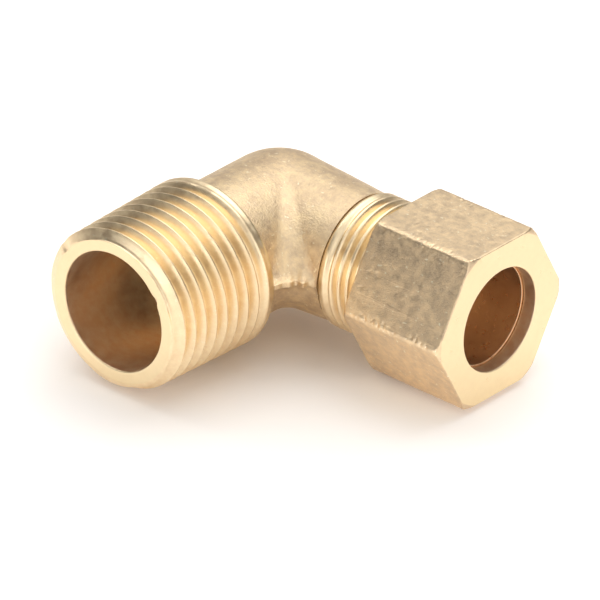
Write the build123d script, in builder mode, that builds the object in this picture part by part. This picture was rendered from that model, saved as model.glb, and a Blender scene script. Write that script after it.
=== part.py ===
import os
from math import ceil, radians, sqrt, tan

from build123d import *

# All sizes are in millimetres. The origin is where the centre lines of the two legs cross:
# the pipe leg runs along -Y, the tube leg along +X, and +Z is up.

# Forged blank
heel_r = 9.1  # ball at the bend, and the neck behind the pipe thread
tube_neck_base_r = 8.9  # tube-side neck at the bend; it narrows with the forging draft
tube_neck_tip_r = 7.94
valley_r = 3.0  # the hollow between the legs
blank_overrun = 8.0  # how far the blank runs on past the turned shoulders before they are cut

# Trimmed forging flash: a thin web on the parting plane, in the inner corner
flash_thickness = 0.8
flash_reach = 10.9
flash_root = 7.9

# Pipe thread, 1/2-14 NPT
pipe_pitch = 25.4 / 14
pipe_taper = 1 / 32  # radius gained for each unit of length
pipe_taper_angle = 1.7899
pipe_tip_r = 20.715 / 2  # over the crests at the open end
pipe_face_y = -30.0
pipe_shoulder_y = -13.2
pipe_tip_chamfer = 0.55
pipe_shoulder_chamfer = 0.35
pipe_root_depth = 1.25
pipe_root_half = 0.10
pipe_collar = 0.9  # plain metal between the end of the thread and the shoulder
pipe_bore_r = 7.65
pipe_bore_end_y = 0.35
drill_half_angle = 59
bore_edge_chamfer = 0.15

# Tube thread, 11/16-20, with 60 degree flanks
tube_pitch = 25.4 / 20
tube_crest_r = 8.64
tube_root_r = 7.92
tube_pitch_line_r = 17.46 / 2 - 0.3248 * tube_pitch
tube_shoulder_x = 13.4
tube_end_x = 27.4
tube_end_chamfer = 0.6
tube_shoulder_chamfer = 0.5
tube_collar = 0.8
flank_gap = 0.05  # each flank is cut back this far along the axis

# Socket for a tube of 12.70 outside diameter
socket_r = 6.40
socket_stop_x = 18.0
seat_start_x = 25.2
seat_mouth_r = 7.5
flow_bore_r = 5.2

# Sleeve
sleeve_bore_r = 6.42
sleeve_back_x = 25.9
sleeve_back_r = 6.68
sleeve_barrel_r = 7.20
sleeve_barrel_start_x = 26.95
sleeve_barrel_end_x = 32.35
sleeve_nose_x = 32.8
sleeve_nose_r = 6.75

# Nut
nut_back_x = 20.0
nut_front_x = 34.8
nut_across_flats = 20.2
nut_ridge_r = 0.7
nut_front_circle_r = 11.15
nut_back_circle_r = 11.0
nut_chamfer_angle = 30
nut_mouth_r = 6.62
nut_mouth_chamfer = 0.2
nut_cone_x = 33.0
nut_cone_angle = 45
nut_minor_r = 8.08
nut_major_r = 8.80
nut_thread_end_x = 31.0
nut_entry_chamfer = 0.8

flank_slope = tan(radians(30))
overcut = 0.08  # how far a thread cutter stands out of the metal that it cuts
clear = 1.0  # how far plain cutters run past the metal


def groove_points(root_r, root_half, outer_r, outer_half):
    """A V with a flat root; it ends past the surface that it is cut into."""
    return [
        (root_r, -root_half),
        (outer_r, -outer_half),
        (outer_r, outer_half),
        (root_r, root_half),
    ]


os.makedirs("parts", exist_ok=True)


def pipe_turn(start_y):
    """One turn of the pipe thread's groove, on the taper."""
    outer_half = pipe_root_half + (pipe_root_depth + overcut) * flank_slope
    with BuildPart() as turn:
        with BuildLine() as path:
            Helix(
                pitch=pipe_pitch,
                height=pipe_pitch,
                radius=pipe_tip_r + pipe_taper * (start_y - pipe_face_y),
                center=(0, start_y, 0),
                direction=(0, 1, 0),
                cone_angle=pipe_taper_angle,
            )
        begin = path.line @ 0
        outward = Vector(begin.X, 0, begin.Z).normalized()
        with BuildSketch(Plane(begin, x_dir=outward, z_dir=path.line % 0)):
            with BuildLine():
                Polyline(
                    groove_points(-pipe_root_depth, pipe_root_half, overcut, outer_half),
                    close=True,
                )
            make_face()
        sweep(path=path.line, is_frenet=True)
    return turn.part


def tube_half_width(radius):
    """Half the width of a groove in the tube thread at this radius."""
    return tube_pitch / 4 + (radius - tube_pitch_line_r) * flank_slope + flank_gap


def tube_turn(path_r, root_r, root_half, outer_r, outer_half):
    """One turn of a groove about X that starts at x = 0 and comes back a pitch."""
    with BuildPart() as turn:
        with BuildLine() as path:
            Helix(pitch=tube_pitch, height=tube_pitch, radius=path_r, direction=(-1, 0, 0))
        begin = path.line @ 0
        outward = Vector(0, begin.Y, begin.Z).normalized()
        with BuildSketch(Plane(begin, x_dir=outward, z_dir=path.line % 0)):
            with BuildLine():
                Polyline(
                    groove_points(root_r - path_r, root_half, outer_r - path_r, outer_half),
                    close=True,
                )
            make_face()
        sweep(path=path.line, is_frenet=True)
    return turn.part


# Body: the forged blank first, then what is turned, drilled and threaded
with BuildPart() as elbow_body:
    # Pipe-side neck and the ball at the heel, in one turn about Y
    with BuildSketch(Plane.XY):
        with BuildLine():
            CenterArc((0, 0), heel_r, 0, 90)
            Line((0, heel_r), (0, pipe_shoulder_y - blank_overrun))
            Line((0, pipe_shoulder_y - blank_overrun), (heel_r, pipe_shoulder_y - blank_overrun))
            Line((heel_r, pipe_shoulder_y - blank_overrun), (heel_r, 0))
        make_face()
    revolve(axis=Axis.Y)
    # Tube-side neck
    neck_end_x = tube_shoulder_x + blank_overrun
    with BuildSketch(Plane.XY):
        with BuildLine():
            Polyline(
                (0, 0),
                (neck_end_x, 0),
                (neck_end_x, tube_neck_tip_r),
                (0, tube_neck_base_r),
                close=True,
            )
        make_face()
    revolve(axis=Axis.X)
    fillet(elbow_body.edges(Select.NEW), valley_r)
    # Both necks are turned off square where the machined lengths start
    with BuildSketch(Plane.YZ.offset(tube_shoulder_x)):
        Rectangle(4 * heel_r, 4 * heel_r)
    extrude(amount=2 * blank_overrun, mode=Mode.SUBTRACT)
    with BuildSketch(Plane.ZX.offset(pipe_shoulder_y)):
        Rectangle(4 * heel_r, 4 * heel_r)
    extrude(amount=-2 * blank_overrun, mode=Mode.SUBTRACT)
    # Flash left on the parting plane after trimming
    with BuildSketch(Plane.XY.offset(-flash_thickness / 2)):
        with BuildLine():
            Polyline(
                (flash_root, -flash_root),
                (flash_root, -flash_reach),
                (flash_reach - 0.9, -flash_reach + 0.2),
                (flash_reach, -flash_reach + 0.9),
                (flash_reach, -flash_root),
                close=True,
            )
        make_face()
    extrude(amount=flash_thickness)

    # Length for the pipe thread, tapered, with its chamfers
    pipe_length = pipe_shoulder_y - pipe_face_y
    pipe_large_r = pipe_tip_r + pipe_taper * pipe_length
    with BuildSketch(Plane.XY):
        with BuildLine():
            Polyline(
                (0, pipe_face_y),
                (pipe_tip_r - 2 * pipe_tip_chamfer, pipe_face_y),
                (pipe_tip_r + pipe_taper * pipe_tip_chamfer, pipe_face_y + pipe_tip_chamfer),
                (pipe_large_r, pipe_shoulder_y - pipe_shoulder_chamfer),
                (pipe_large_r - pipe_shoulder_chamfer, pipe_shoulder_y),
                (0, pipe_shoulder_y),
                close=True,
            )
        make_face()
    revolve(axis=Axis.Y)
    # Length for the tube thread
    with BuildSketch(Plane.XY):
        with BuildLine():
            Polyline(
                (tube_shoulder_x, 0),
                (tube_shoulder_x, tube_crest_r - tube_shoulder_chamfer / 2),
                (tube_shoulder_x + tube_shoulder_chamfer, tube_crest_r),
                (tube_end_x - tube_end_chamfer, tube_crest_r),
                (tube_end_x, tube_crest_r - tube_end_chamfer),
                (tube_end_x, 0),
                close=True,
            )
        make_face()
    revolve(axis=Axis.X)
    # Both threads start outside the metal and stop short of the shoulder
    last_y = pipe_shoulder_y - pipe_collar - pipe_pitch
    pipe_turns = ceil((last_y - pipe_face_y) / pipe_pitch + 1.5)
    add([pipe_turn(last_y - i * pipe_pitch) for i in range(pipe_turns)], mode=Mode.SUBTRACT)
    last_x = tube_shoulder_x + tube_collar + tube_pitch
    tube_turns = ceil((tube_end_x - last_x) / tube_pitch + 1.5)
    tube_groove = tube_turn(
        tube_crest_r,
        tube_root_r,
        tube_half_width(tube_root_r),
        tube_crest_r + overcut,
        tube_half_width(tube_crest_r + overcut),
    )
    with Locations([(last_x + i * tube_pitch, 0, 0) for i in range(tube_turns)]):
        add(tube_groove, mode=Mode.SUBTRACT)

    # Pipe bore, with the drill's point at its end
    drill_depth = pipe_bore_r / tan(radians(drill_half_angle))
    with BuildSketch(Plane.XY):
        with BuildLine():
            Polyline(
                (0, pipe_face_y - clear),
                (pipe_bore_r + bore_edge_chamfer + clear, pipe_face_y - clear),
                (pipe_bore_r, pipe_face_y + bore_edge_chamfer),
                (pipe_bore_r, pipe_bore_end_y),
                (0, pipe_bore_end_y + drill_depth),
                close=True,
            )
        make_face()
    revolve(axis=Axis.Y, mode=Mode.SUBTRACT)
    # Tube socket, its seat for the sleeve, and the flow bore behind it
    with BuildSketch(Plane.XY):
        with BuildLine():
            Polyline(
                (0, 0),
                (0, flow_bore_r),
                (socket_stop_x, flow_bore_r),
                (socket_stop_x, socket_r),
                (seat_start_x, socket_r),
                (tube_end_x, seat_mouth_r),
                (tube_end_x + clear, seat_mouth_r),
                (tube_end_x + clear, 0),
                close=True,
            )
        make_face()
    revolve(axis=Axis.X, mode=Mode.SUBTRACT)
elbow_body.part.label = "elbow_body"
export_step(elbow_body.part, "parts/elbow_body.step")

# Sleeve: a barrel that the seat and the nut's cone squeeze onto the tube
with BuildPart() as sleeve:
    with BuildSketch(Plane.XY):
        with BuildLine():
            Polyline(
                (sleeve_back_x, sleeve_bore_r),
                (sleeve_back_x, sleeve_back_r),
                (sleeve_barrel_start_x, sleeve_barrel_r),
                (sleeve_barrel_end_x, sleeve_barrel_r),
                (sleeve_nose_x, sleeve_nose_r),
                (sleeve_nose_x, sleeve_bore_r),
                close=True,
            )
        make_face()
    revolve(axis=Axis.X)
sleeve.part.label = "sleeve"
export_step(sleeve.part, "parts/sleeve.step")

def nut_half_width(radius):
    """Half the width of a groove in the nut's thread at this radius."""
    return tube_pitch / 4 - (radius - tube_pitch_line_r) * flank_slope + flank_gap


# Nut: a hexagon with flats up and down, its corners turned off at both ends
with BuildPart() as compression_nut:
    with BuildSketch(Plane.YZ.offset(nut_back_x)):
        RegularPolygon(nut_across_flats / 2, 6, major_radius=False, rotation=0)
    extrude(amount=nut_front_x - nut_back_x)
    fillet(compression_nut.edges().filter_by(Axis.X), nut_ridge_r)
    # Corner chamfers, as one turned outline that the hexagon is cut down to
    chamfer_slope = tan(radians(nut_chamfer_angle))
    widest_r = nut_across_flats / sqrt(3) + clear
    front_start_x = nut_front_x - (widest_r - nut_front_circle_r) * chamfer_slope
    back_end_x = nut_back_x + (widest_r - nut_back_circle_r) * chamfer_slope
    with BuildSketch(Plane.XY):
        with BuildLine():
            Polyline(
                (nut_back_x, 0),
                (nut_back_x, nut_back_circle_r),
                (back_end_x, widest_r),
                (front_start_x, widest_r),
                (nut_front_x, nut_front_circle_r),
                (nut_front_x, 0),
                close=True,
            )
        make_face()
    revolve(axis=Axis.X, mode=Mode.INTERSECT)
    # Bore: entry chamfer, thread bore, the cone that presses the sleeve, and the mouth
    cone_start_x = nut_cone_x - (nut_minor_r - nut_mouth_r) / tan(radians(nut_cone_angle))
    with BuildSketch(Plane.XY):
        with BuildLine():
            Polyline(
                (nut_back_x - clear, 0),
                (nut_back_x - clear, nut_minor_r + nut_entry_chamfer + clear),
                (nut_back_x + nut_entry_chamfer, nut_minor_r),
                (cone_start_x, nut_minor_r),
                (nut_cone_x, nut_mouth_r),
                (nut_front_x - nut_mouth_chamfer, nut_mouth_r),
                (nut_front_x + clear, nut_mouth_r + nut_mouth_chamfer + clear),
                (nut_front_x + clear, 0),
                close=True,
            )
        make_face()
    revolve(axis=Axis.X, mode=Mode.SUBTRACT)
    # The same helix as on the body, half a pitch along, so that the ridges mesh
    nut_groove = tube_turn(
        nut_minor_r,
        nut_major_r,
        nut_half_width(nut_major_r),
        nut_minor_r - overcut,
        nut_half_width(nut_minor_r - overcut),
    )
    mesh_x = last_x + tube_pitch / 2
    first_nut_x = mesh_x + tube_pitch * int((nut_thread_end_x - mesh_x) / tube_pitch)
    nut_turns = int((first_nut_x - nut_back_x) / tube_pitch) + 2
    with Locations([(first_nut_x - i * tube_pitch, 0, 0) for i in range(nut_turns)]):
        add(nut_groove, mode=Mode.SUBTRACT)
compression_nut.part.label = "compression_nut"
export_step(compression_nut.part, "parts/compression_nut.step")

for piece in (elbow_body, sleeve, compression_nut):
    print(piece.part.label, piece.part.is_valid, round(piece.part.volume), "mm3")
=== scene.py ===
import math

import bmesh
import bpy
import numpy as np
from mathutils import Matrix, Vector, noise


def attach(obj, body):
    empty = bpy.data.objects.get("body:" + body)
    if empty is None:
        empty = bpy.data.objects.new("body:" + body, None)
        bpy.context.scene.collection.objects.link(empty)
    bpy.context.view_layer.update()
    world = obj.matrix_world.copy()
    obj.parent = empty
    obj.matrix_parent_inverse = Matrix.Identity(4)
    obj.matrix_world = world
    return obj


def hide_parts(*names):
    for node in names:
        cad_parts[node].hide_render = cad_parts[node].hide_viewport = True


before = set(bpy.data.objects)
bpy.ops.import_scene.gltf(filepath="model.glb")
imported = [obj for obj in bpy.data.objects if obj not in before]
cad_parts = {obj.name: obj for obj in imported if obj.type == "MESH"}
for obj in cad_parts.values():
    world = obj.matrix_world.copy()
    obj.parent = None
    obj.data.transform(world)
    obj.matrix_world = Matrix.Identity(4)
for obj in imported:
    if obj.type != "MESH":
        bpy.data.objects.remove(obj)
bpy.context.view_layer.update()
mm = 0.001
print("frame loaded")

cameraView = {
    "turn": 40.32,  # degrees round from the pipe's open end
    "height": 29.43,
    "roll": 1.38,
    "distance": 1000.0,
    "aim": (3.62, 0.0, -9.35),
    "lens": 495.0,
}


def makeCamera(view):
    turn, height = math.radians(view["turn"]), math.radians(view["height"])
    back = Vector(
        (
            math.sin(turn) * math.cos(height),
            -math.cos(turn) * math.cos(height),
            math.sin(height),
        )
    )
    side = Vector((math.cos(turn), math.sin(turn), 0))
    up = back.cross(side)
    roll = math.radians(view["roll"])
    side, up = (
        math.cos(roll) * side + math.sin(roll) * up,
        math.cos(roll) * up - math.sin(roll) * side,
    )
    camera = bpy.data.objects.new("camera", bpy.data.cameras.new("camera"))
    camera.data.lens = view["lens"]
    camera.data.clip_start = 0.01
    place = (Vector(view["aim"]) + view["distance"] * back) * mm
    camera.matrix_world = Matrix(
        [
            (side.x, up.x, back.x, place.x),
            (side.y, up.y, back.y, place.y),
            (side.z, up.z, back.z, place.z),
            (0, 0, 0, 1),
        ]
    )
    bpy.context.scene.collection.objects.link(camera)
    bpy.context.scene.camera = camera


makeCamera(cameraView)
print("camera set")

brassTones = {
    "forged": {"light": (0.92, 0.73, 0.465), "dark": (0.64, 0.47, 0.31), "rough": 0.48},
    "thread": {"light": (1.00, 0.82, 0.54), "dark": (0.88, 0.66, 0.41), "rough": 0.34},
    "cut": {"light": (0.94, 0.77, 0.49), "dark": (0.88, 0.70, 0.43), "rough": 0.33},
    "bore": {"light": (1.00, 0.82, 0.62), "dark": (0.92, 0.67, 0.47), "rough": 0.40},
    "nut": {"light": (0.95, 0.73, 0.46), "dark": (0.56, 0.42, 0.29), "rough": 0.36},
    "sleeve": {"light": (0.97, 0.70, 0.46), "dark": (0.86, 0.58, 0.37), "rough": 0.30},
}
# grain: size and depth; scratches: depth and how their pattern is stretched; turned: axis of the tool marks
brassFinishes = {
    "forgedBrass": {
        "tone": "forged", "grain": (0.26, 0.13), "scratches": (0.03, (1, 1, 1)),
        "stain": 0.8, "flecks": 0.8,
    },
    "threadBrass": {
        "tone": "thread", "grain": (0.30, 0.010), "scratches": (0.020, (2, 0.3, 2)),
        "stain": 0.7, "flecks": 0.6,
    },
    "tubeThreadBrass": {
        "tone": "thread", "grain": (0.30, 0.008), "scratches": (0.015, (0.3, 2, 2)),
        "stain": 0.7, "flecks": 0.4,
    },
    "pipeFaceBrass": {
        "tone": "cut", "grain": (0.25, 0.006), "scratches": (0.006, (1, 1, 1)),
        "stain": 0.6, "turned": "Y",
    },
    "nutFaceBrass": {
        "tone": "cut", "grain": (0.25, 0.006), "scratches": (0.006, (1, 1, 1)),
        "stain": 0.6, "turned": "X",
    },
    "boreBrass": {
        "tone": "bore", "grain": (0.35, 0.010), "scratches": (0.01, (2, 0.25, 2)),
        "stain": 0.9,
    },
    "nutBrass": {
        "tone": "nut", "grain": (0.20, 0.040), "scratches": (0.020, (0.12, 3.5, 3.5)),
        "stain": 0.55, "flecks": 0.9,
    },
    "sleeveBrass": {
        "tone": "sleeve", "grain": (0.30, 0.004), "scratches": (0.003, (3, 0.3, 0.3)),
        "stain": 0.5,
    },
}
# a span is the pair of levels of a pattern between which it takes effect
brassPatterns = {
    "clouds": {"scale": 160, "detail": 5, "rough": 0.6},
    "mottle": {"scale": 900, "detail": 4, "rough": 0.65},
    "grain": {"detail": 3, "rough": 0.6},
    "scratches": {"scale": 260, "detail": 4, "rough": 0.7},
    "flecks": {"scale": 2400, "detail": 2, "rough": 0.5, "stretch": (0.7, 1, 1)},
    "cloudShare": 0.6,
    "stainSpan": (0.62, 0.98),
    "scratchSpan": (0.60, 0.72),
    "fleckSpan": (0.66, 0.72),
    "roughSpan": (0.3, 0.7),
    "roughChange": (-0.06, 0.08),
    "scratchRough": 0.12,
    "fleckColour": (1.0, 0.88, 0.66, 1),
    "bumpStrengths": {"grain": 0.6, "scratches": 0.5, "toolMarks": 0.5},
    "toolMarks": {"Distortion": 1.2, "Detail": 2, "Detail Scale": 0.4},
    "toolMarkGap": 0.17,
    "toolMarkDepth": 0.004,
}
waveTurn = 20  # radians that the wave texture turns through in one unit


def addNode(tree, kind, place, **values):
    node = tree.nodes.new(kind)
    node.location = place
    for name, value in values.items():
        setattr(node, name, value)
    return node


def makeNoise(tree, coords, pattern, place):
    if "stretch" in pattern:
        mapping = addNode(tree, "ShaderNodeMapping", (place[0] - 200, place[1]))
        mapping.inputs["Scale"].default_value = pattern["stretch"]
        tree.links.new(coords, mapping.inputs["Vector"])
        coords = mapping.outputs["Vector"]
    node = addNode(tree, "ShaderNodeTexNoise", place)
    node.inputs["Scale"].default_value = pattern["scale"]
    node.inputs["Detail"].default_value = pattern["detail"]
    node.inputs["Roughness"].default_value = pattern["rough"]
    tree.links.new(coords, node.inputs["Vector"])
    return node.outputs["Fac"]


def mapRange(tree, value, low, high, toLow, toHigh, place):
    node = addNode(tree, "ShaderNodeMapRange", place)
    node.inputs["From Min"].default_value = low
    node.inputs["From Max"].default_value = high
    node.inputs["To Min"].default_value = toLow
    node.inputs["To Max"].default_value = toHigh
    tree.links.new(value, node.inputs["Value"])
    return node.outputs["Result"]


def addShare(tree, value, share, base, place):  # the base and a share of the value
    node = addNode(tree, "ShaderNodeMath", place, operation="MULTIPLY_ADD")
    tree.links.new(value, node.inputs[0])
    node.inputs[1].default_value = share
    tree.links.new(base, node.inputs[2])
    return node.outputs["Value"]


def mixColours(tree, first, second, factor, place):
    node = addNode(tree, "ShaderNodeMix", place, data_type="RGBA")
    tree.links.new(factor, node.inputs[0])
    for socket, colour in zip((node.inputs[6], node.inputs[7]), (first, second)):
        if isinstance(colour, tuple):
            socket.default_value = colour
        else:
            tree.links.new(colour, socket)
    return node.outputs[2]


def addBump(tree, height, strength, depth, before, place):
    bump = addNode(tree, "ShaderNodeBump", place)
    bump.inputs["Strength"].default_value = strength
    bump.inputs["Distance"].default_value = depth * mm
    tree.links.new(height, bump.inputs["Height"])
    if before:
        tree.links.new(before, bump.inputs["Normal"])
    return bump.outputs["Normal"]


def addToolMarks(tree, coords, axis, patterns, before):
    marks = addNode(tree, "ShaderNodeTexWave", (-900, -950), wave_type="RINGS", rings_direction=axis)
    marks.inputs["Scale"].default_value = 2 * math.pi / (waveTurn * patterns["toolMarkGap"] * mm)
    for name, value in patterns["toolMarks"].items():
        marks.inputs[name].default_value = value
    tree.links.new(coords, marks.inputs["Vector"])
    strength = patterns["bumpStrengths"]["toolMarks"]
    return addBump(tree, marks.outputs["Fac"], strength, patterns["toolMarkDepth"], before, (-100, -900))


def makeBrass(name, finish, patterns):
    tone = brassTones[finish["tone"]]
    grainSize, grainDepth = finish["grain"]
    scratchDepth, scratchStretch = finish["scratches"]
    material = bpy.data.materials.new(name)
    material.use_nodes = True
    tree = material.node_tree
    shader = tree.nodes["Principled BSDF"]
    shader.inputs["Metallic"].default_value = 1.0
    coords = addNode(tree, "ShaderNodeTexCoord", (-1500, 0)).outputs["Object"]

    clouds = makeNoise(tree, coords, patterns["clouds"], (-900, 400))
    mottle = makeNoise(tree, coords, patterns["mottle"], (-900, 200))
    shade = addShare(tree, clouds, patterns["cloudShare"], mottle, (-700, 400))
    clean = mapRange(tree, shade, *patterns["stainSpan"], 1.0 - finish["stain"], 1.0, (-500, 400))
    tint = mixColours(tree, (*tone["dark"], 1), (*tone["light"], 1), clean, (-300, 400))
    if "flecks" in finish:
        spots = makeNoise(tree, coords, patterns["flecks"], (-900, -700))
        bright = mapRange(tree, spots, *patterns["fleckSpan"], 0.0, finish["flecks"], (-500, -700))
        tint = mixColours(tree, tint, patterns["fleckColour"], bright, (-100, 400))
    tree.links.new(tint, shader.inputs["Base Color"])

    scratches = dict(patterns["scratches"], stretch=scratchStretch)
    lines = makeNoise(tree, coords, scratches, (-900, -400))
    lines = mapRange(tree, lines, *patterns["scratchSpan"], 0.0, 1.0, (-500, -400))
    smoothest, roughest = (tone["rough"] + change for change in patterns["roughChange"])
    rough = mapRange(tree, mottle, *patterns["roughSpan"], smoothest, roughest, (-500, 100))
    rough = addShare(tree, lines, patterns["scratchRough"], rough, (-300, 100))
    tree.links.new(rough, shader.inputs["Roughness"])

    strengths = patterns["bumpStrengths"]
    grain = makeNoise(tree, coords, dict(patterns["grain"], scale=1 / (grainSize * mm)), (-900, -100))
    normal = addBump(tree, grain, strengths["grain"], grainDepth, None, (-300, -100))
    normal = addBump(tree, lines, strengths["scratches"], scratchDepth, normal, (-100, -300))
    if "turned" in finish:
        normal = addToolMarks(tree, coords, finish["turned"], patterns, normal)
    tree.links.new(normal, shader.inputs["Normal"])
    return material


brass = {name: makeBrass(name, finish, brassPatterns) for name, finish in brassFinishes.items()}
print("materials made")


def makeThreadTree():
    tree = bpy.data.node_groups.new("threadTree", "GeometryNodeTree")
    face = tree.interface
    face.new_socket("Geometry", in_out="INPUT", socket_type="NodeSocketGeometry")
    for name in ("Rows", "Columns", "Turns"):
        face.new_socket(name, in_out="INPUT", socket_type="NodeSocketInt")
    for name in (
        "Pitch", "Start", "End", "Ridge Radius", "Depth", "Taper", "Root Share", "Crest Share",
        "Phase", "Shoulder", "Fade", "Fade Level", "Mouth", "Mouth Radius", "Mouth Slope",
    ):
        face.new_socket(name, in_out="INPUT", socket_type="NodeSocketFloat")
    for name in ("Axis", "Side", "Up"):
        face.new_socket(name, in_out="INPUT", socket_type="NodeSocketVector")
    face.new_socket("Material", in_out="INPUT", socket_type="NodeSocketMaterial")
    face.new_socket("Geometry", in_out="OUTPUT", socket_type="NodeSocketGeometry")
    given = addNode(tree, "NodeGroupInput", (-1800, 0)).outputs

    def join(socket, value):
        if isinstance(value, (int, float)):
            socket.default_value = value
        else:
            tree.links.new(value, socket)

    def do(how, *values):
        node = addNode(tree, "ShaderNodeMath", (0, 0), operation=how)
        for socket, value in zip(node.inputs, values):
            join(socket, value)
        return node.outputs[0]

    def ramp(kind, value, low, high, toLow, toHigh):
        node = addNode(tree, "ShaderNodeMapRange", (0, 0), interpolation_type=kind)
        for name, part in zip(
            ("Value", "From Min", "From Max", "To Min", "To Max"), (value, low, high, toLow, toHigh)
        ):
            join(node.inputs[name], part)
        return node.outputs["Result"]

    def scaled(vector, factor):
        node = addNode(tree, "ShaderNodeVectorMath", (0, 0), operation="SCALE")
        tree.links.new(vector, node.inputs[0])
        tree.links.new(factor, node.inputs["Scale"])
        return node.outputs[0]

    def plus(first, second):
        node = addNode(tree, "ShaderNodeVectorMath", (0, 0), operation="ADD")
        tree.links.new(first, node.inputs[0])
        tree.links.new(second, node.inputs[1])
        return node.outputs[0]

    grid = addNode(tree, "GeometryNodeMeshGrid", (-1500, 0))
    grid.inputs["Size X"].default_value = 1
    grid.inputs["Size Y"].default_value = 1
    tree.links.new(given["Rows"], grid.inputs["Vertices X"])
    tree.links.new(given["Columns"], grid.inputs["Vertices Y"])
    where = addNode(tree, "ShaderNodeSeparateXYZ", (-1300, -200))
    tree.links.new(addNode(tree, "GeometryNodeInputPosition", (-1500, -200)).outputs[0], where.inputs[0])
    u = do("ADD", where.outputs["X"], 0.5)
    v = do("ADD", where.outputs["Y"], 0.5)

    # every row follows the helix, and what would pass an end stops at it
    length = do("MULTIPLY", given["Turns"], given["Pitch"])
    first = do("SUBTRACT", given["Start"], given["Pitch"])
    climb = do("MULTIPLY", v, given["Pitch"])
    raw = do("ADD", do("MULTIPLY_ADD", u, length, first), climb)
    along = do("MINIMUM", do("MAXIMUM", raw, given["Start"]), given["End"])
    phase = do("FRACT", do("ADD", do("SUBTRACT", do("DIVIDE", along, given["Pitch"]), v), given["Phase"]))
    saw = do("ABSOLUTE", do("MULTIPLY_ADD", phase, 2, -1))
    height = ramp("LINEAR", saw, given["Root Share"], do("SUBTRACT", 1, given["Crest Share"]), 0, 1)
    away = do("ABSOLUTE", do("SUBTRACT", along, given["Shoulder"]))
    fade = ramp("SMOOTHSTEP", away, 0, given["Fade"], 1, 0)
    height = do("MULTIPLY_ADD", fade, do("SUBTRACT", given["Fade Level"], height), height)
    ridge = do("MULTIPLY_ADD", do("SUBTRACT", along, given["Start"]), given["Taper"], given["Ridge Radius"])
    radius = do("SUBTRACT", ridge, do("MULTIPLY", given["Depth"], do("SUBTRACT", 1, height)))
    inward = do("ABSOLUTE", do("SUBTRACT", along, given["Mouth"]))
    mouth = do("MULTIPLY_ADD", inward, given["Mouth Slope"], given["Mouth Radius"])
    radius = do("MINIMUM", radius, mouth)

    angle = do("MULTIPLY", v, 2 * math.pi)
    around = plus(
        scaled(given["Side"], do("MULTIPLY", radius, do("COSINE", angle))),
        scaled(given["Up"], do("MULTIPLY", radius, do("SINE", angle))),
    )
    place = plus(scaled(given["Axis"], along), around)
    move = addNode(tree, "GeometryNodeSetPosition", (300, 0))
    tree.links.new(grid.outputs["Mesh"], move.inputs["Geometry"])
    tree.links.new(place, move.inputs["Position"])
    weld = addNode(tree, "GeometryNodeMergeByDistance", (500, 0))
    weld.inputs["Distance"].default_value = 0.001 * mm
    realize = addNode(tree, "GeometryNodeRealizeInstances", (700, 0))
    paint = addNode(tree, "GeometryNodeSetMaterial", (900, 0))
    out = addNode(tree, "NodeGroupOutput", (1100, 0))
    tree.links.new(move.outputs[0], weld.inputs["Geometry"])
    tree.links.new(weld.outputs[0], realize.inputs[0])
    tree.links.new(realize.outputs[0], paint.inputs["Geometry"])
    tree.links.new(given["Material"], paint.inputs["Material"])
    tree.links.new(paint.outputs[0], out.inputs[0])
    return tree


threadTree = makeThreadTree()


def makeThread(values, material):
    holder = bpy.data.objects.new("threadHolder", bpy.data.meshes.new("threadHolder"))
    bpy.context.scene.collection.objects.link(holder)
    modifier = holder.modifiers.new("thread", "NODES")
    modifier.node_group = threadTree
    values = dict(values, Material=material)
    for item in threadTree.interface.items_tree:
        if item.in_out == "INPUT" and item.name in values:
            modifier[item.identifier] = values[item.name]
    bpy.context.view_layer.update()
    seen = holder.evaluated_get(bpy.context.evaluated_depsgraph_get())
    mesh = bpy.data.meshes.new_from_object(seen)
    bpy.data.objects.remove(holder)
    points = np.empty(len(mesh.vertices) * 3)
    mesh.vertices.foreach_get("co", points)
    faces = [tuple(p.vertices) for p in mesh.polygons]
    bpy.data.meshes.remove(mesh)
    return points.reshape(-1, 3) / mm, faces


def threadPatch(size, axis, side, columns, material):
    turns = math.ceil((size["end"] - size["start"]) / size["pitch"]) + 1
    return makeThread(
        {
            "Rows": turns * size["rowsPerTurn"] + 1,
            "Columns": columns + 1,
            "Turns": turns,
            "Pitch": size["pitch"] * mm,
            "Start": size["start"] * mm,
            "End": size["end"] * mm,
            "Ridge Radius": size["ridge"] * mm,
            "Depth": size["depth"] * mm,
            "Taper": size["taper"],
            "Root Share": size["rootShare"],
            "Crest Share": size["crestShare"],
            "Phase": 0.5 - size["grooveAt"] / size["pitch"],
            "Shoulder": size["shoulder"] * mm,
            "Fade": size["fade"] * mm,
            "Fade Level": size["fadeLevel"],
            "Mouth": size["mouth"] * mm,
            "Mouth Radius": size["mouthRadius"] * mm,
            "Mouth Slope": size["mouthSlope"],
            "Axis": axis,
            "Side": side,
            "Up": (0.0, 0.0, 1.0),
        },
        material,
    )


def newShell(columns):  # rings and patches, welded into one closed mesh at the end
    return {"columns": columns, "points": [], "faces": [], "paints": [], "count": 0}


def addPatch(shell, points, faces, paint):
    shell["points"].append(np.asarray(points, float))
    shell["faces"] += [tuple(i + shell["count"] for i in face) for face in faces]
    shell["paints"] += [paint] * len(faces)
    shell["count"] += len(points)


def addRings(shell, rings, paint):
    n = shell["columns"]
    faces = [
        (r * n + c, r * n + (c + 1) % n, (r + 1) * n + (c + 1) % n, (r + 1) * n + c)
        for r in range(len(rings) - 1)
        for c in range(n)
    ]
    addPatch(shell, np.concatenate(rings), faces, paint)


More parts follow.
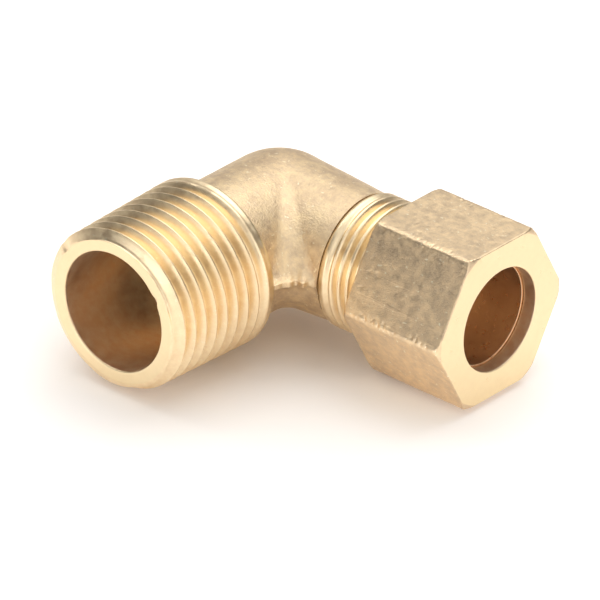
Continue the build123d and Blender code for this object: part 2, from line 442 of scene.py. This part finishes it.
def finishShell(shell, name, materials, sharpAngle=38):
    mesh = bpy.data.meshes.new(name)
    mesh.from_pydata((np.concatenate(shell["points"]) * mm).tolist(), [], shell["faces"])
    mesh.polygons.foreach_set("material_index", shell["paints"])
    for material in materials:
        mesh.materials.append(material)
    work = bmesh.new()
    work.from_mesh(mesh)
    bmesh.ops.remove_doubles(work, verts=work.verts, dist=0.002 * mm)
    bmesh.ops.dissolve_degenerate(work, edges=work.edges, dist=0.0005 * mm)
    bmesh.ops.recalc_face_normals(work, faces=work.faces)
    openEdges = sum(not edge.is_manifold for edge in work.edges)
    work.to_mesh(mesh)
    work.free()
    mesh.polygons.foreach_set("use_smooth", [True] * len(mesh.polygons))
    mesh.set_sharp_from_angle(angle=math.radians(sharpAngle))
    print(name, len(mesh.vertices), "points,", len(mesh.polygons), "faces,", openEdges, "open edges")
    piece = bpy.data.objects.new(name, mesh)
    bpy.context.scene.collection.objects.link(piece)
    return piece


def joinHalf(shell, fine, coarse, paint):  # joins a ring to one with half as many points
    n, m = len(fine), len(coarse)
    faces = []
    for j in range(m):
        a, b, c = 2 * j, 2 * j + 1, (2 * j + 2) % n
        p, q = n + j, n + (j + 1) % m
        faces += [(a, b, p), (b, q, p), (b, c, q)]
    addPatch(shell, np.concatenate([fine, coarse]), faces, paint)


def circle(columns):
    return np.arange(columns) / columns * 2 * math.pi


def pipeRing(y, radius, columns):
    a = circle(columns)
    return np.stack([-radius * np.cos(a), np.full(columns, y), radius * np.sin(a)], 1)


def tubeRing(x, radius, columns):
    a = circle(columns)
    return np.stack([np.full(columns, x), radius * np.cos(a), radius * np.sin(a)], 1)


def easeCorners(points, radius, steps=3):  # rounds the inside corners of an outline of (along, radius)
    points = [np.array(p, float) for p in points]
    out = [points[0]]
    for before, here, after in zip(points, points[1:], points[2:]):
        a, b = before - here, after - here
        reach = min(radius, 0.45 * np.linalg.norm(a), 0.45 * np.linalg.norm(b))
        a, b = here + a / np.linalg.norm(a) * reach, here + b / np.linalg.norm(b) * reach
        for t in np.linspace(0, 1, steps + 1):
            out.append((1 - t) ** 2 * a + 2 * t * (1 - t) * here + t * t * b)
    out.append(points[-1])
    return out


def edgeRing(points, axis, value, side, columns):  # the ring that a thread patch ends in
    near = points[np.abs(points[:, axis] - value) < 1e-3]
    angle = np.arctan2(near[:, 2], near @ np.array(side))
    index = np.round(angle / (2 * math.pi) * columns).astype(int) % columns
    ring = np.zeros((columns, 3))
    ring[index] = near
    return ring


def unevenness(points, size, shift=0.0):  # smooth noise, the same on every run
    return np.array([noise.noise(Vector(p) / size + Vector((shift, 7.3, 1.9))) for p in points])


def pushOut(points, axis, amount):  # moves points away from the line that runs along an axis
    flat = points.copy()
    flat[:, axis] = 0
    return points + flat / np.linalg.norm(flat, axis=1, keepdims=True) * np.asarray(amount)[:, None]


def pressNick(points, axis, place, width, depth):  # a small bruise, pressed towards or away from the axis
    near = np.exp(-((np.linalg.norm(points - np.array(place), axis=1) / width) ** 2))
    return pushOut(points, axis, depth * near)


# the body
legs = {
    "pipeEnd": -30.0,
    "pipeShoulder": -13.2,
    "tubeShoulder": 13.4,
    "tubeEnd": 27.4,
    "pipePitch": 25.4 / 14,
    "tubePitch": 1.27,
}
# ridge is the radius over the thread at its start, and the shares are parts of the pitch that are flat;
# at the shoulder the thread fades to a level, 1 for its crest and 0 for its root;
# the mouth is a cone that cuts the open end
pipeThread = {
    "pitch": legs["pipePitch"],
    "start": legs["pipeEnd"],
    "end": -13.55,
    "ridge": 10.3575,
    "depth": 1.22,
    "taper": 1 / 32,
    "rootShare": 0.14,
    "crestShare": 0.12,
    "grooveAt": legs["pipeShoulder"] - 0.9 - legs["pipePitch"],
    "shoulder": -13.55,
    "fade": 2.3,
    "fadeLevel": 1.0,
    "mouth": legs["pipeEnd"],
    "mouthRadius": 9.2575,
    "mouthSlope": 2.0,
    "rowsPerTurn": 14,
}
tubeThread = {
    "pitch": legs["tubePitch"],
    "start": 13.84,
    "end": legs["tubeEnd"],
    "ridge": 8.64,
    "depth": 0.72,
    "taper": 0.0,
    "rootShare": 0.14,
    "crestShare": 0.16,
    "grooveAt": legs["tubeShoulder"] + 0.8 + legs["tubePitch"],
    "shoulder": 13.84,
    "fade": 1.9,
    "fadeLevel": 1.0,
    "mouth": legs["tubeEnd"],
    "mouthRadius": 8.04,
    "mouthSlope": 1.0,
    "rowsPerTurn": 10,
}
bodySize = {
    "columns": 240,
    "heel": 9.1,
    "neckBase": 9.1,
    "neckTip": 8.28,
    "valley": (4.2, 2.8),  # radius of the hollow between the legs, at the parting line and at the top
    "valleyRise": 6,
    "pivot": (legs["tubeShoulder"], legs["pipeShoulder"]),
    "bulge": 2.6,  # how far the fan's centre line swings out at the bend
    "fanRows": 76,
    "easeRows": 6,  # rows at each end that stay smooth
    "ripples": [(0.6, 4.0, 0), (0.4, 1.5, 5), (0.25, 0.7, 9)],  # share, size, and shift of the noise
    "waviness": 0.035,
    # the seam left by the dies: height, width, evenness, and size of what is uneven
    "partingBand": (0.06, 0.55, 0.7, 1.2),
    "pipeWear": ((0.035, 0.7), (0.02, 2.5)),  # depth and size, of the fine wear and of the broad
    "tubeWear": (0.02, 0.8),
    "pipeStep": [(-0.10, 10.78), (-0.02, 10.62), (0, 10.45), (0, 10.0), (0, 9.5), (0, 9.22)],
    "tubeStep": [(0.02, 8.27), (0.08, 8.36)],
    "rimNicks": [  # place, width, and depth, which is negative towards the axis
        ((-7.8, -29.7, 5.8), 0.55, -0.42),
        ((-2.0, -29.5, 9.9), 0.40, -0.20),
        ((9.2, -28.2, 4.1), 0.35, -0.16),
    ],
    "boreNick": ((6.54, -30.0, 3.98), 0.50, 0.34),
    "flash": {  # squeezed out between the dies, in the inside corner
        "edge": 0.30,  # half its thickness
        "width": 1.25,
        "least": 0.3,  # narrower than this it ends
        "draft": 0.55,  # how fast it thickens
        "fillet": 1.0,
        "ends": (-4.0, 4.4),  # how far it runs to each side of the diagonal
        "endFades": (0.7, 1.8),
        "innerSide": 9,
        "waves": [(0.16, 0.9, 0.6), (0.05, 2.9, 0)],  # height, pace, start
        "notch": (0.55, 1.4, 0.8),  # depth, place, width
    },
    "inside": {
        "pipeMouth": [(-30, 9.0), (-30, 8.6), (-30, 8.1), (-30, 7.84), (-29.96, 7.74), (-29.86, 7.67)],
        "pipeBore": 7.65,
        "boreStart": -29.7,
        "boreRings": 26,
        "boreRipple": (0.012, 1.1),  # depth and size
        "drillStart": 0.35,
        "drillAngle": 59,
        "flowBore": 5.2,
        "rows": 48,
        # the flow bore, the stop, the socket and the cone for the sleeve
        "seat": [(13.4, 5.2), (18.0, 5.2), (18.0, 6.40), (25.2, 6.40), (27.4, 7.5), (27.4, 8.03)],
        "seatEdge": 0.12,
    },
}
raySearch = {"far": 18, "steps": 240, "halvings": 24, "shareToPivot": 0.995}


def halfAngleCosine(first, second):
    return np.sqrt(np.clip((1 + (first * second).sum(-1)) / 2, 0, 1))


def bodyDistance(p, size):  # two round legs that meet in a ball, rounded in their inside corner
    x, y, z = p[..., 0], p[..., 1], p[..., 2]
    ball = np.linalg.norm(p, axis=-1)
    pipeAway = np.where((y < 0)[..., None], np.stack([x, 0 * y, z], -1), p)
    tubeAway = np.where((x > 0)[..., None], np.stack([0 * x, y, z], -1), p)
    pipeR = np.where(y < 0, np.hypot(x, z), ball)
    tubeR = np.where(x > 0, np.hypot(y, z), ball)
    neck = size["neckBase"] + (size["neckTip"] - size["neckBase"]) * np.clip(x / size["pivot"][0], 0, 1)
    fromPipe, fromTube = pipeR - size["heel"], tubeR - neck
    half = halfAngleCosine(pipeAway / pipeR[..., None], tubeAway / tubeR[..., None])
    low, high = size["valley"]
    rise = np.clip(np.abs(z) / size["valleyRise"], 0, 1)
    valley = low + (high - low) * rise * rise * (3 - 2 * rise)
    blend = valley * (1 - half) / (1 - math.sqrt(0.5))
    hollow = np.hypot(np.maximum(blend - fromPipe, 0), np.maximum(blend - fromTube, 0))
    return np.maximum(blend, np.minimum(fromPipe, fromTube)) - hollow


def flashDistance(p, size):
    flash = size["flash"]
    across = p[..., 0] + p[..., 1]
    depth, place, notchWidth = flash["notch"]
    jag = sum(height * np.sin(across * pace + start) for height, pace, start in flash["waves"])
    jag = jag - depth * np.exp(-(((across - place) / notchWidth) ** 2))
    start, end = flash["ends"]
    startFade, endFade = flash["endFades"]
    width = flash["width"] * np.clip((across - start) / startFade, 0, 1)
    width = width * np.clip((end - across) / endFade, 0, 1)
    away = bodyDistance(p * [1, 1, 0], size) - width - jag * np.minimum(width, 1)
    bevel = np.abs(p[..., 2]) - flash["edge"] - flash["draft"] * np.maximum(-away, 0)
    innerSide = flash["innerSide"] - (p[..., 0] - p[..., 1]) / math.sqrt(2)
    return np.maximum(np.maximum(bevel, away), np.maximum(innerSide, flash["least"] - width))


def forgedDistance(p, size):
    fillet = size["flash"]["fillet"]
    metal, web = bodyDistance(p, size), flashDistance(p, size)
    near = np.maximum(fillet - np.abs(metal - web), 0) * (web > -1)
    return np.minimum(metal, web) - near * near / (4 * fillet)


def cavityDistance(p, inside):
    x, y, z = p[..., 0], p[..., 1], p[..., 2]
    drillPoint = np.maximum(y - inside["drillStart"], 0) * math.tan(math.radians(inside["drillAngle"]))
    pipe = np.hypot(x, z) - inside["pipeBore"] + drillPoint
    tube = np.maximum(np.hypot(y, z) - inside["flowBore"], -x)
    return np.minimum(pipe, tube)


def findSurface(distance, centre, rays, far):  # how far along each ray the metal ends
    index = np.arange(len(rays))
    steps = np.linspace(0, 1, raySearch["steps"])[:, None] * far
    inside = distance(centre + steps[..., None] * rays) < 0
    first = np.where(inside.all(axis=0), raySearch["steps"] - 1, np.argmin(inside, axis=0))
    low, high = steps[np.maximum(first - 1, 0), index], steps[first, index]
    for _ in range(raySearch["halvings"]):
        middle = (low + high) / 2
        inner = distance(centre + middle[:, None] * rays) < 0
        low, high = np.where(inner, middle, low), np.where(inner, high, middle)
    return low


def fanRings(size, distance, rows):  # rings round the bend, from the pipe leg to the tube leg
    a = circle(size["columns"])
    facing = -np.cos(a)
    pivot = np.array([*size["pivot"], 0.0])
    rings = []
    for share in np.linspace(0, 1, rows):
        turn = share * math.pi / 2
        reach = size["pivot"][0] * (1 - share) - size["pivot"][1] * share
        reach += size["bulge"] * math.sin(2 * turn) ** 2
        out = np.array([-math.cos(turn), math.sin(turn), 0.0])
        centre = pivot + reach * out
        rays = np.cos(a)[:, None] * out + np.sin(a)[:, None] * np.array([0, 0, 1.0])
        # a ray that turns towards the pivot stops short of its axis, so that the rings never cross
        beforePivot = raySearch["shareToPivot"] * reach / np.maximum(facing, 0.01)
        beforePivot = np.minimum(raySearch["far"], beforePivot)
        far = np.where(facing > 0.01, beforePivot, raySearch["far"])
        rings.append((centre, rays, findSurface(distance, centre, rays, far)))
    return rings


def makeForgedRings(size):
    fan = fanRings(size, lambda p: forgedDistance(p, size), size["fanRows"])
    bandHeight, bandWidth, evenness, bandSize = size["partingBand"]
    forged = []
    for index, (centre, rays, radius) in enumerate(fan):
        points = centre + radius[:, None] * rays
        ease = min(1.0, index / size["easeRows"], (len(fan) - 1 - index) / size["easeRows"])
        wave = sum(share * unevenness(points, width, shift) for share, width, shift in size["ripples"])
        band = bandHeight * np.exp(-((points[:, 2] / bandWidth) ** 2))
        band = band * (evenness + unevenness(points, bandSize, 2))
        radius = radius + ease * (size["waviness"] * wave + band)
        forged.append(centre + radius[:, None] * rays)
    return forged


def addPipeLeg(shell, size, thread, paint):  # gives the rings at its open end and at its shoulder
    n = size["columns"]
    points, faces = threadPatch(thread, (0.0, 1.0, 0.0), (-1.0, 0.0, 0.0), n, brass["threadBrass"])
    (fine, fineSize), (broad, broadSize) = size["pipeWear"]
    worn = -fine * np.maximum(unevenness(points, fineSize), 0) - broad * unevenness(points, broadSize, 3) ** 2
    points = pushOut(points, 1, worn)
    for place, width, depth in size["rimNicks"]:
        points = pressNick(points, 1, place, width, depth)
    addPatch(shell, points, faces, paint)
    return [edgeRing(points, 1, thread[end], (-1, 0, 0), n) for end in ("start", "end")]


def addTubeLeg(shell, size, thread, paint):  # gives the rings at its shoulder and at its open end
    n = size["columns"]
    points, faces = threadPatch(thread, (1.0, 0.0, 0.0), (0.0, 1.0, 0.0), n, brass["tubeThreadBrass"])
    depth, wearSize = size["tubeWear"]
    points = pushOut(points, 0, -depth * np.maximum(unevenness(points, wearSize), 0))
    addPatch(shell, points, faces, paint)
    return [edgeRing(points, 0, thread[end], (0, 1, 0), n) for end in ("start", "end")]


def addInside(shell, size, pipeFace, tubeFace, facePaint, borePaint):
    n, inside = size["columns"], size["inside"]
    mouth = [pipeRing(y, r, n) for y, r in inside["pipeMouth"]]
    mouth = [pressNick(ring, 1, *size["boreNick"]) for ring in mouth]
    places = np.linspace(inside["boreStart"], legs["pipeShoulder"], inside["boreRings"])
    bore = [pipeRing(y, inside["pipeBore"], n) for y in places]
    ripple, rippleSize = inside["boreRipple"]
    bore = [pushOut(ring, 1, ripple * unevenness(ring, rippleSize, 4)) for ring in bore]
    addRings(shell, [pipeFace] + mouth, facePaint)
    fan = fanRings(size, lambda p: cavityDistance(p, inside), inside["rows"])
    bend = [centre + radius[:, None] * rays for centre, rays, radius in fan]
    addRings(shell, [mouth[-1]] + bore[:-1] + bend, borePaint)
    seat = easeCorners(inside["seat"], inside["seatEdge"])
    addRings(shell, [bend[-1]] + [tubeRing(x, r, n) for x, r in seat[1:]] + [tubeFace], borePaint)


def makeBody(size, pipe, tube):
    n = size["columns"]
    shell = newShell(n)
    finishes = ["forgedBrass", "threadBrass", "pipeFaceBrass", "boreBrass", "tubeThreadBrass"]
    forgedPaint, pipePaint, cutPaint, borePaint, tubePaint = range(len(finishes))
    pipeFace, pipeShoulder = addPipeLeg(shell, size, pipe, pipePaint)
    tubeShoulder, tubeFace = addTubeLeg(shell, size, tube, tubePaint)
    forged = makeForgedRings(size)
    pipeStep = [pipeRing(legs["pipeShoulder"] + step, r, n) for step, r in size["pipeStep"]]
    tubeStep = [tubeRing(legs["tubeShoulder"] + step, r, n) for step, r in size["tubeStep"]]
    addRings(shell, [pipeShoulder] + pipeStep + [forged[0]], cutPaint)
    addRings(shell, forged, forgedPaint)
    addRings(shell, [forged[-1]] + tubeStep + [tubeShoulder], cutPaint)
    addInside(shell, size, pipeFace, tubeFace, cutPaint, borePaint)
    body = finishShell(shell, "elbowBody", [brass[name] for name in finishes])
    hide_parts("elbow_body")
    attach(body, "root")


makeBody(bodySize, pipeThread, tubeThread)
print("body made")

# the nut
nutThread = dict(
    tubeThread,
    start=20.7,
    end=31.0,
    ridge=8.80,
    shoulder=31.0,
    fade=1.2,
    fadeLevel=0.0,
    mouth=20.7,
    mouthRadius=20.0,
)
nutSize = {
    "columns": 480,
    "acrossFlats": 20.2,
    "ridge": 0.7,
    "back": 20.0,
    "front": 34.8,
    "frontCircle": 10.95,
    "backCircle": 11.0,
    "chamfer": 30,
    "edgeSpans": [0, 0.06, 0.14, 0.25, 0.4, 0.55, 0.72],  # rings close to each edge, by distance from it
    "flatsFrom": 0.9,
    "flatRings": 110,
    "edgeRounding": (0.14, 0.10),
    "ridgeWear": (0.95, 0.45),  # how far above the flats the wear starts, and over what height it grows
    "wear": 0.11,
    "nicks": (1.5, 0.42, 0.08),  # strength, size, and the level of noise that they start from
    "nickPatches": (0.6, 2.4),  # evenness, and size of the patches with more of them
    "bruises": (0.5, 1.3),  # strength and size
    "dents": (0.07, 0.9, 0.42),  # depth, size, and the level of noise that they start from
    "ripple": (0.004, 3.0),  # depth and size
    "faceRings": (9.7, 9.0, 8.2, 7.5, 7.0, 6.95),
    # the mouth, the cone that presses on the sleeve, and the relief behind the thread
    "inside": [(34.8, 6.95), (34.8, 6.72), (34.70, 6.62), (33.0, 6.62), (31.54, 8.08), (31.3, 8.08)],
    "insideEdge": 0.10,
    "mouthRings": 7,  # rings of the inside that belong to the front face's edge
    "backRings": (9.8, 9.35),
}


def hexRadius(angle, size):  # a hexagon with rounded ridges; its flats face up and down
    half, r = size["acrossFlats"] / 2, size["ridge"]
    fromFlat = (angle + math.pi / 6) % (math.pi / 3) - math.pi / 6
    flat = half / np.cos(fromFlat)
    fromRidge = math.pi / 6 - np.abs(fromFlat)
    corner = (half - r) / math.cos(math.pi / 6)
    side = corner * np.sin(fromRidge)
    rounded = corner * np.cos(fromRidge) + np.sqrt(np.maximum(r * r - side * side, 0))
    limit = math.atan2((half - r) * math.tan(math.pi / 6), half)
    return np.where(np.abs(fromFlat) > limit, rounded, flat)


def nutWear(points, ridge, size):  # how far the surface is worn or bruised inwards
    strength, nickSize, nickLevel = size["nicks"]
    evenness, patchSize = size["nickPatches"]
    bruiseStrength, bruiseSize = size["bruises"]
    dentDepth, dentSize, dentLevel = size["dents"]
    rippleDepth, rippleSize = size["ripple"]
    nicks = strength * np.maximum(unevenness(points, nickSize, 1) - nickLevel, 0)
    nicks = nicks * (evenness + unevenness(points, patchSize, 3))
    nicks = nicks + bruiseStrength * np.maximum(unevenness(points, bruiseSize, 6), 0)
    dents = np.maximum(unevenness(points, dentSize, 8) - dentLevel, 0) * dentDepth
    ripple = rippleDepth * (1 + unevenness(points, rippleSize))
    return -size["wear"] * ridge * nicks - dents - ripple


def makeHexagon(size):  # rings from the back edge to the front edge
    n = size["columns"]
    a = circle(n)
    back, front = size["back"], size["front"]
    hexagon = hexRadius(a - math.pi / 2, size)
    wearStart, wearSpan = size["ridgeWear"]
    ridge = np.clip((hexagon - size["acrossFlats"] / 2 - wearStart) / wearSpan, 0, 1)
    slope = 1 / math.tan(math.radians(size["chamfer"]))
    roundingWidth, roundingDepth = size["edgeRounding"]
    spans = size["edgeSpans"]
    middle = np.linspace(back + size["flatsFrom"], front - size["flatsFrom"], size["flatRings"])
    rings = []
    for x in [*(back + s for s in spans), *middle, *(front - s for s in spans[::-1])]:
        frontLimit = size["frontCircle"] + (front - x) * slope
        backLimit = size["backCircle"] + (x - back) * slope
        limit = np.minimum(frontLimit, backLimit)
        rim = min(front - x, x - back)
        radius = np.minimum(hexagon, limit) - roundingDepth * max(0, 1 - rim / roundingWidth) ** 2
        points = np.stack([np.full(n, x), radius * np.cos(a), radius * np.sin(a)], 1)
        rings.append(pushOut(points, 0, nutWear(points, ridge, size)))
    return rings


def makeNut(size, thread):
    n = size["columns"]
    shell = newShell(n)
    finishes = ["nutBrass", "nutFaceBrass", "boreBrass", "tubeThreadBrass"]
    outerPaint, facePaint, borePaint, threadPaint = range(len(finishes))
    outer = makeHexagon(size)
    addRings(shell, outer, outerPaint)
    addRings(shell, [outer[-1]] + [tubeRing(size["front"], r, n) for r in size["faceRings"]], facePaint)
    inside = [tubeRing(x, r, n) for x, r in easeCorners(size["inside"], size["insideEdge"])]
    split = size["mouthRings"]
    addRings(shell, inside[:split], facePaint)
    addRings(shell, inside[split - 1:], borePaint)

    half = n // 2
    points, faces = threadPatch(thread, (1.0, 0.0, 0.0), (0.0, 1.0, 0.0), half, brass["tubeThreadBrass"])
    addPatch(shell, points, faces, threadPaint)
    threadStart, threadEnd = (edgeRing(points, 0, thread[end], (0, 1, 0), half) for end in ("start", "end"))
    joinHalf(shell, tubeRing(*size["inside"][-1], n), threadEnd, borePaint)
    back = [tubeRing(size["back"], r, n) for r in size["backRings"]]
    addRings(shell, [outer[0]] + back, facePaint)
    joinHalf(shell, back[-1], threadStart, facePaint)
    nut = finishShell(shell, "compressionNut", [brass[name] for name in finishes])
    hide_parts("compression_nut")
    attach(nut, "nut")


makeNut(nutSize, nutThread)
print("nut made")

# the sleeve
sleeveSize = {
    "columns": 192,
    "outline": [(25.9, 6.42), (25.9, 6.68), (26.95, 7.20), (32.35, 7.20), (32.8, 6.75), (32.8, 6.42)],
    "edge": 0.10,
    "ringGap": 0.35,
    "ripple": (0.006, 1.4),  # depth and size
}


def makeSleeve(size):
    n = size["columns"]
    shell = newShell(n)
    outline = size["outline"]
    middle = [((a[0] + b[0]) / 2, (a[1] + b[1]) / 2) for a, b in zip(outline, outline[1:] + outline[:1])]
    closed = [middle[-1]] + [p for pair in zip(outline, middle) for p in pair]
    rounded = easeCorners(closed, size["edge"])
    dense = []
    for a, b in zip(rounded, rounded[1:]):
        parts = max(1, math.ceil(np.linalg.norm(b - a) / size["ringGap"]))
        dense += [a + (b - a) * t / parts for t in range(parts)]
    rings = [tubeRing(x, r, n) for x, r in dense]
    ripple, rippleSize = size["ripple"]
    rings = [pushOut(ring, 0, ripple * unevenness(ring, rippleSize, 12)) for ring in rings]
    addRings(shell, rings + rings[:1], 0)
    sleeve = finishShell(shell, "brassSleeve", [brass["sleeveBrass"]])
    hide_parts("sleeve")
    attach(sleeve, "sleeve")


makeSleeve(sleeveSize)
print("sleeve made")

# floor, lights and room
studio = {
    "floor": -10.95,
    "floorSize": 8,
    "floorColour": (0.93, 0.90, 0.87, 1),
    "floorRough": 0.9,
    "floorShine": 0.1,
    "glowColour": (1.0, 0.95, 0.91, 1),
    "floorGlow": 0.32,
    "shade": (8, -10, 0),  # centre of a painted shadow: the floor's glow fades out near here, so the floor is darker round the part
    "paintedShadowReach": (6, 36),
    "lights": {
        "overhead": {"place": (0, 150, 400), "size": (420, 420), "power": 0.76},
        "frontRight": {"place": (420, -200, 140), "size": (300, 300), "power": 0.30},
        "front": {"place": (-60, -520, 100), "size": (420, 200), "power": 0.50},
        "side": {"place": (430, 40, 50), "size": (110, 260), "power": 0.12},
        "streak": {"place": (-230, -80, 330), "size": (60, 200), "power": 0.10},
    },
    # brightness of the room by height: how far towards the top, then colour
    "sky": [
        (0.0, (0.60, 0.585, 0.57)),
        (0.33, (0.46, 0.445, 0.43)),
        (0.50, (0.70, 0.69, 0.68)),
        (0.72, (1.02, 1.02, 1.01)),
        (1.0, (0.95, 0.95, 0.95)),
    ],
    "skyStrength": 0.84,
    # unlit parts of the room: direction, cosine where the dimming starts and ends, share of light left
    "darkSides": [((-0.52, -0.80, 0.30), 0.76, 0.95, 0.12), ((0.55, 0.65, 0.50), 0.80, 0.97, 0.30)],
}


def makeFloor(values):
    bpy.ops.mesh.primitive_plane_add(size=values["floorSize"], location=(0, 0, values["floor"] * mm))
    floor = bpy.context.object
    floor.name = "floor"
    paper = bpy.data.materials.new("paleFloor")
    paper.use_nodes = True
    tree = paper.node_tree
    shader = tree.nodes["Principled BSDF"]
    shader.inputs["Base Color"].default_value = values["floorColour"]
    shader.inputs["Roughness"].default_value = values["floorRough"]
    shader.inputs["Specular IOR Level"].default_value = values["floorShine"]
    shader.inputs["Emission Color"].default_value = values["glowColour"]
    # painted shadow: the floor's glow is zero within the near reach of the shade point and full beyond the
    # far reach
    coords = addNode(tree, "ShaderNodeTexCoord", (-900, -300)).outputs["Object"]
    away = addNode(tree, "ShaderNodeVectorMath", (-700, -300), operation="DISTANCE")
    away.inputs[1].default_value = Vector(values["shade"]) * mm
    tree.links.new(coords, away.inputs[0])
    near, far = (reach * mm for reach in values["paintedShadowReach"])
    glowOutsidePaintedShadow = mapRange(tree, away.outputs["Value"], near, far, 0.0, values["floorGlow"], (-500, -300))
    tree.links.new(glowOutsidePaintedShadow, shader.inputs["Emission Strength"])
    floor.data.materials.append(paper)


def makeLights(values):
    for name, given in values["lights"].items():
        light = bpy.data.lights.new(name, "AREA")
        light.shape = "RECTANGLE"
        light.size, light.size_y = (side * mm for side in given["size"])
        light.energy = given["power"]
        lamp = bpy.data.objects.new(name, light)
        place = Vector(given["place"]) * mm
        lamp.location = place
        lamp.rotation_euler = (-place).to_track_quat("-Z", "Y").to_euler()
        bpy.context.scene.collection.objects.link(lamp)


def makeRoom(values):
    world = bpy.data.worlds.new("studio")
    bpy.context.scene.world = world
    world.use_nodes = True
    tree = world.node_tree
    coords = addNode(tree, "ShaderNodeTexCoord", (-900, 0)).outputs["Generated"]
    split = addNode(tree, "ShaderNodeSeparateXYZ", (-700, 0))
    ramp = addNode(tree, "ShaderNodeValToRGB", (-500, 0))
    stops = ramp.color_ramp.elements
    stops.remove(stops[1])
    for index, (height, colour) in enumerate(values["sky"]):
        stop = stops[0] if index == 0 else stops.new(height)
        stop.color = (*colour, 1)
    tree.links.new(coords, split.inputs[0])
    tree.links.new(split.outputs["Z"], ramp.inputs["Fac"])
    light = ramp.outputs["Color"]
    for index, (direction, start, full, share) in enumerate(values["darkSides"]):
        low = -250 * (index + 1)
        facing = addNode(tree, "ShaderNodeVectorMath", (-700, low), operation="DOT_PRODUCT")
        facing.inputs[1].default_value = Vector(direction).normalized()
        tree.links.new(coords, facing.inputs[0])
        shade = mapRange(tree, facing.outputs["Value"], start, full, 1.0, share, (-500, low))
        dimmed = addNode(tree, "ShaderNodeVectorMath", (-300 + 150 * index, 0), operation="SCALE")
        tree.links.new(light, dimmed.inputs[0])
        tree.links.new(shade, dimmed.inputs["Scale"])
        light = dimmed.outputs[0]
    background = tree.nodes["Background"]
    tree.links.new(light, background.inputs["Color"])
    background.inputs["Strength"].default_value = values["skyStrength"]
    bpy.context.scene.view_settings.view_transform = "Standard"


makeFloor(studio)
makeLights(studio)
makeRoom(studio)
print("studio lit")
